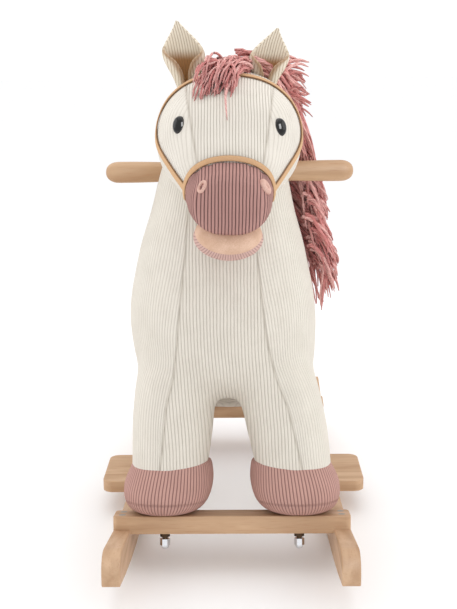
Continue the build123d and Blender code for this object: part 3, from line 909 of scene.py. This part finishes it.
def makeMane(yarn):
    random = np.random.default_rng(11)
    # long strands fall from the crest, and short ones stick out of them all the way down
    long, short = 330, 300
    outerEdge = ([272, 283, 300, 339, 354, 383, 411, 425, 468, 496, 534, 573],
                 [106, 110, 124, 124, 117, 109, 110, 107, 91, 83, 76, 71])
    share = np.sort(random.uniform(0, 1, long))
    crest = smoothTable(((0, 10, -150, 572), (0.18, 24, -120, 566), (0.38, 36, -84, 526), (0.6, 42, -66, 466),
                         (0.8, 46, -58, 412), (1.0, 52, -48, 366)), share)
    roots = crest + random.normal(0, 5, (long, 3))
    spread = random.uniform(-1, 1, long)
    tipZ = np.maximum(roots[:, 2] - random.uniform(60, 140, long), 271 + random.uniform(0, 70, long))
    tips = np.column_stack([np.interp(tipZ, *outerEdge) + random.uniform(-20, 2, long), -84 + spread * 32,
                            tipZ])
    firstPull = roots + np.column_stack([random.uniform(20, 42, long), spread * 10,
                                         random.uniform(2, 18, long)])
    secondPull = tips + np.column_stack([random.uniform(-14, 0, long), spread * -6,
                                         random.uniform(28, 60, long)])
    rootZ = random.uniform(330, 560, short)
    shagRoots = np.column_stack([np.interp(rootZ, *outerEdge) - random.uniform(12, 26, short),
                                 -84 + random.uniform(-30, 30, short), rootZ])
    reach = random.uniform(30, 62, short)
    lift = random.uniform(0.15, 1.0, short) ** 2
    shagZ = np.maximum(rootZ - reach * (1.0 - 0.55 * lift), 274 + random.uniform(0, 20, short))
    shagTips = np.column_stack([np.interp(shagZ, *outerEdge) + 10 * lift - 3,
                                shagRoots[:, 1] + random.uniform(-8, 8, short),
                                shagZ])
    bulge = np.column_stack([random.uniform(6, 14, short), random.uniform(-4, 4, short),
                             random.uniform(0, 8, short)])
    # a few strands stand out sideways behind the ear
    spikes = 46
    spikeZ = random.uniform(528, 574, spikes)
    spikeRoots = np.column_stack([random.uniform(48, 62, spikes), random.uniform(-120, -90, spikes), spikeZ])
    spikeTips = np.column_stack([random.uniform(76, 94, spikes), random.uniform(-130, -90, spikes),
                                 spikeZ - random.uniform(-6, 26, spikes)])
    third = (spikeTips - spikeRoots) / 3
    rise = np.column_stack([np.zeros(spikes), np.zeros(spikes), random.uniform(2, 9, spikes)])
    makeStrands("maneYarn", "mane", np.concatenate([roots, shagRoots, spikeRoots]),
                np.concatenate([firstPull, shagRoots + bulge, spikeRoots + third + rise]),
                np.concatenate([secondPull, shagTips + (-4, 0, 16), spikeRoots + 2 * third + rise]),
                np.concatenate([tips, shagTips, spikeTips]), 2.0, 21, yarn)


def makeForelock(yarn, headPiece):
    random = np.random.default_rng(5)
    count = 90
    roots = np.column_stack([random.uniform(-16, 26, count), random.uniform(-168, -140, count),
                             random.uniform(556, 574, count)])
    tips = np.column_stack([random.uniform(-36, 6, count), random.uniform(-228, -216, count),
                            random.uniform(522, 556, count)])
    firstPull = roots + np.column_stack([random.uniform(-14, 4, count), random.uniform(-22, -8, count),
                                         random.uniform(6, 20, count)])
    secondPull = tips + np.column_stack([random.uniform(-2, 8, count), random.uniform(4, 12, count),
                                         random.uniform(16, 30, count)])
    # one strand falls further down the forehead
    for pull, height, lift in ((firstPull, 0.57, 0.02), (secondPull, 0.543, 0.009), (tips, 0.513, 0.003)):
        place, out = nearest(headPiece, (0.072 - height * 0.14, -0.25, height))
        pull[0] = (place + out * lift) / mm
    makeStrands("forelockYarn", "forelock", roots, firstPull, secondPull, tips, 1.8, 6, yarn)


def makeTail(yarn):
    random = np.random.default_rng(8)
    count = 170
    turn = random.uniform(0, 2 * np.pi, count)
    out = random.uniform(0, 1, count)
    roots = np.column_stack([np.cos(turn) * out * 7, 208 + np.sin(turn) * 3, 300 + np.sin(turn) * out * 7])
    tips = np.column_stack([np.cos(turn) * out * 24, 226 + np.sin(turn) * out * 14,
                            152 + random.uniform(0, 36, count)])
    firstPull = roots + np.column_stack([np.cos(turn) * 4, 20 + random.uniform(0, 10, count),
                                         random.uniform(0, 14, count)])
    secondPull = tips + np.column_stack([np.cos(turn) * 4, random.uniform(0, 8, count),
                                         random.uniform(50, 80, count)])
    makeStrands("tailYarn", "tail", roots, firstPull, secondPull, tips, 1.9, 9, yarn)


def paintFrame():
    alongX = makeBeech("beechAcross", "X", "#cdaa87", "#ab8562")
    alongY = makeBeech("beechAlong", "Y", "#c9a787", "#a78261")
    alongZ = makeBeech("beechUpright", "Z", "#dcb68f", "#c79c72")
    chrome, polyamide = makeChrome(), makePolyamide()
    zinc = makePlated("zincPlatedSteel", "#6f6960", "#a39c90")
    bronzed = makePlated("bronzedSteel", "#33261c", "#5d4a38")
    for name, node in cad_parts.items():
        if name in ("left_runner", "right_runner", "spine_board"):
            material = alongY
        elif name in ("front_slat", "rear_slat", "left_footrest", "right_footrest", "handle_bar"):
            material = alongX
        elif name.endswith("post") or name == "neck_board":
            material = alongZ
        elif name == "hoof_cap_nuts":
            material = chrome
        elif name in ("hoof_bolts", "hoof_washers", "hoof_lock_nuts"):
            material = bronzed
        elif "screw" in name:
            material = zinc
        elif name == "eye_washers":
            material = polyamide
        else:
            continue
        for place in node.material_slots:
            place.material = material


def layFloor():
    half, below = 30, 0.0005
    points = np.array([(-half, -half, 0), (half, -half, 0), (half, half, 0), (-half, half, 0)], float)
    floor = makePiece("floor", points, [[0, 1, 2, 3]], makePaper())
    floor.location.z = -below


aimCamera()
lightStudio()
layFloor()
print("stage: frame materials")
paintFrame()
cream = makeCorduroy("corduroyCream", "#e0dacf", "#8a7d6a", 3.7, 0.7, 0.42, 0.45)
creamFine = makeCorduroy("corduroyCreamFine", "#e1dbd1", "#8a7d6a", 3.2, 0.6, 0.54, 0.3)
creamEar = makeCorduroy("corduroyCreamEar", "#e4dac8", "#94764f", 3.2, 0.6, 0.6)
pink = makeCorduroy("corduroyPinkWide", "#b48a83", "#351a1b", 3.5, 1.0, 1.0)
pinkLip = makeCorduroy("corduroyPinkLip", "#ccaaa1", "#94706a", 2.6, 0.6, 0.7)
pinkHoof = makeCorduroy("corduroyPink", "#c1988e", "#6f4c47", 3.8, 0.9, 0.9)
suede = makeSuede()
yarn = makeYarn()
peach = makeVelour("velourPeach", "#dcbba5", "#c5a188")
palePink = makeVelour("velourPalePink", "#dfbcae", "#bb8f82")
acrylic = makeEyeAcrylic()
print("stage: body")
makeBody(cream)
print("stage: hooves")
for endWord, endSign in (("front", -1), ("rear", 1)):
    for sideWord, sideSign in (("left", 1), ("right", -1)):
        makeHoof(endWord + "_" + sideWord + "_hoof", endSign, sideSign, pinkHoof)
print("stage: head")
headPiece = makeHead(creamFine)
muzzlePiece = makeMuzzle(pink)
makeMouth(pinkLip, peach)
for eyeSide, word in ((1, "left"), (-1, "right")):
    makeEye(word + "Eye", word + "_eye", eyeSide, headPiece, acrylic)
makeNostril("rightNostrilRing", "right_nostril", (-0.029, -0.296, 0.452), 1.7, muzzlePiece, palePink)
makeNostril("leftNostrilRing", "left_nostril", (0.041, -0.288, 0.455), 3.0, muzzlePiece, palePink)
makeEar("leftEarLeaf", "left_ear", 1, 38.5, 67, 20.5, creamEar)
makeEar("rightEarLeaf", "right_ear", -1, -48, 73, 22, creamEar)
print("stage: bridle")
makeBridle(headPiece, suede)
print("stage: yarn")
makeMane(yarn)
makeForelock(yarn, headPiece)
makeTail(yarn)
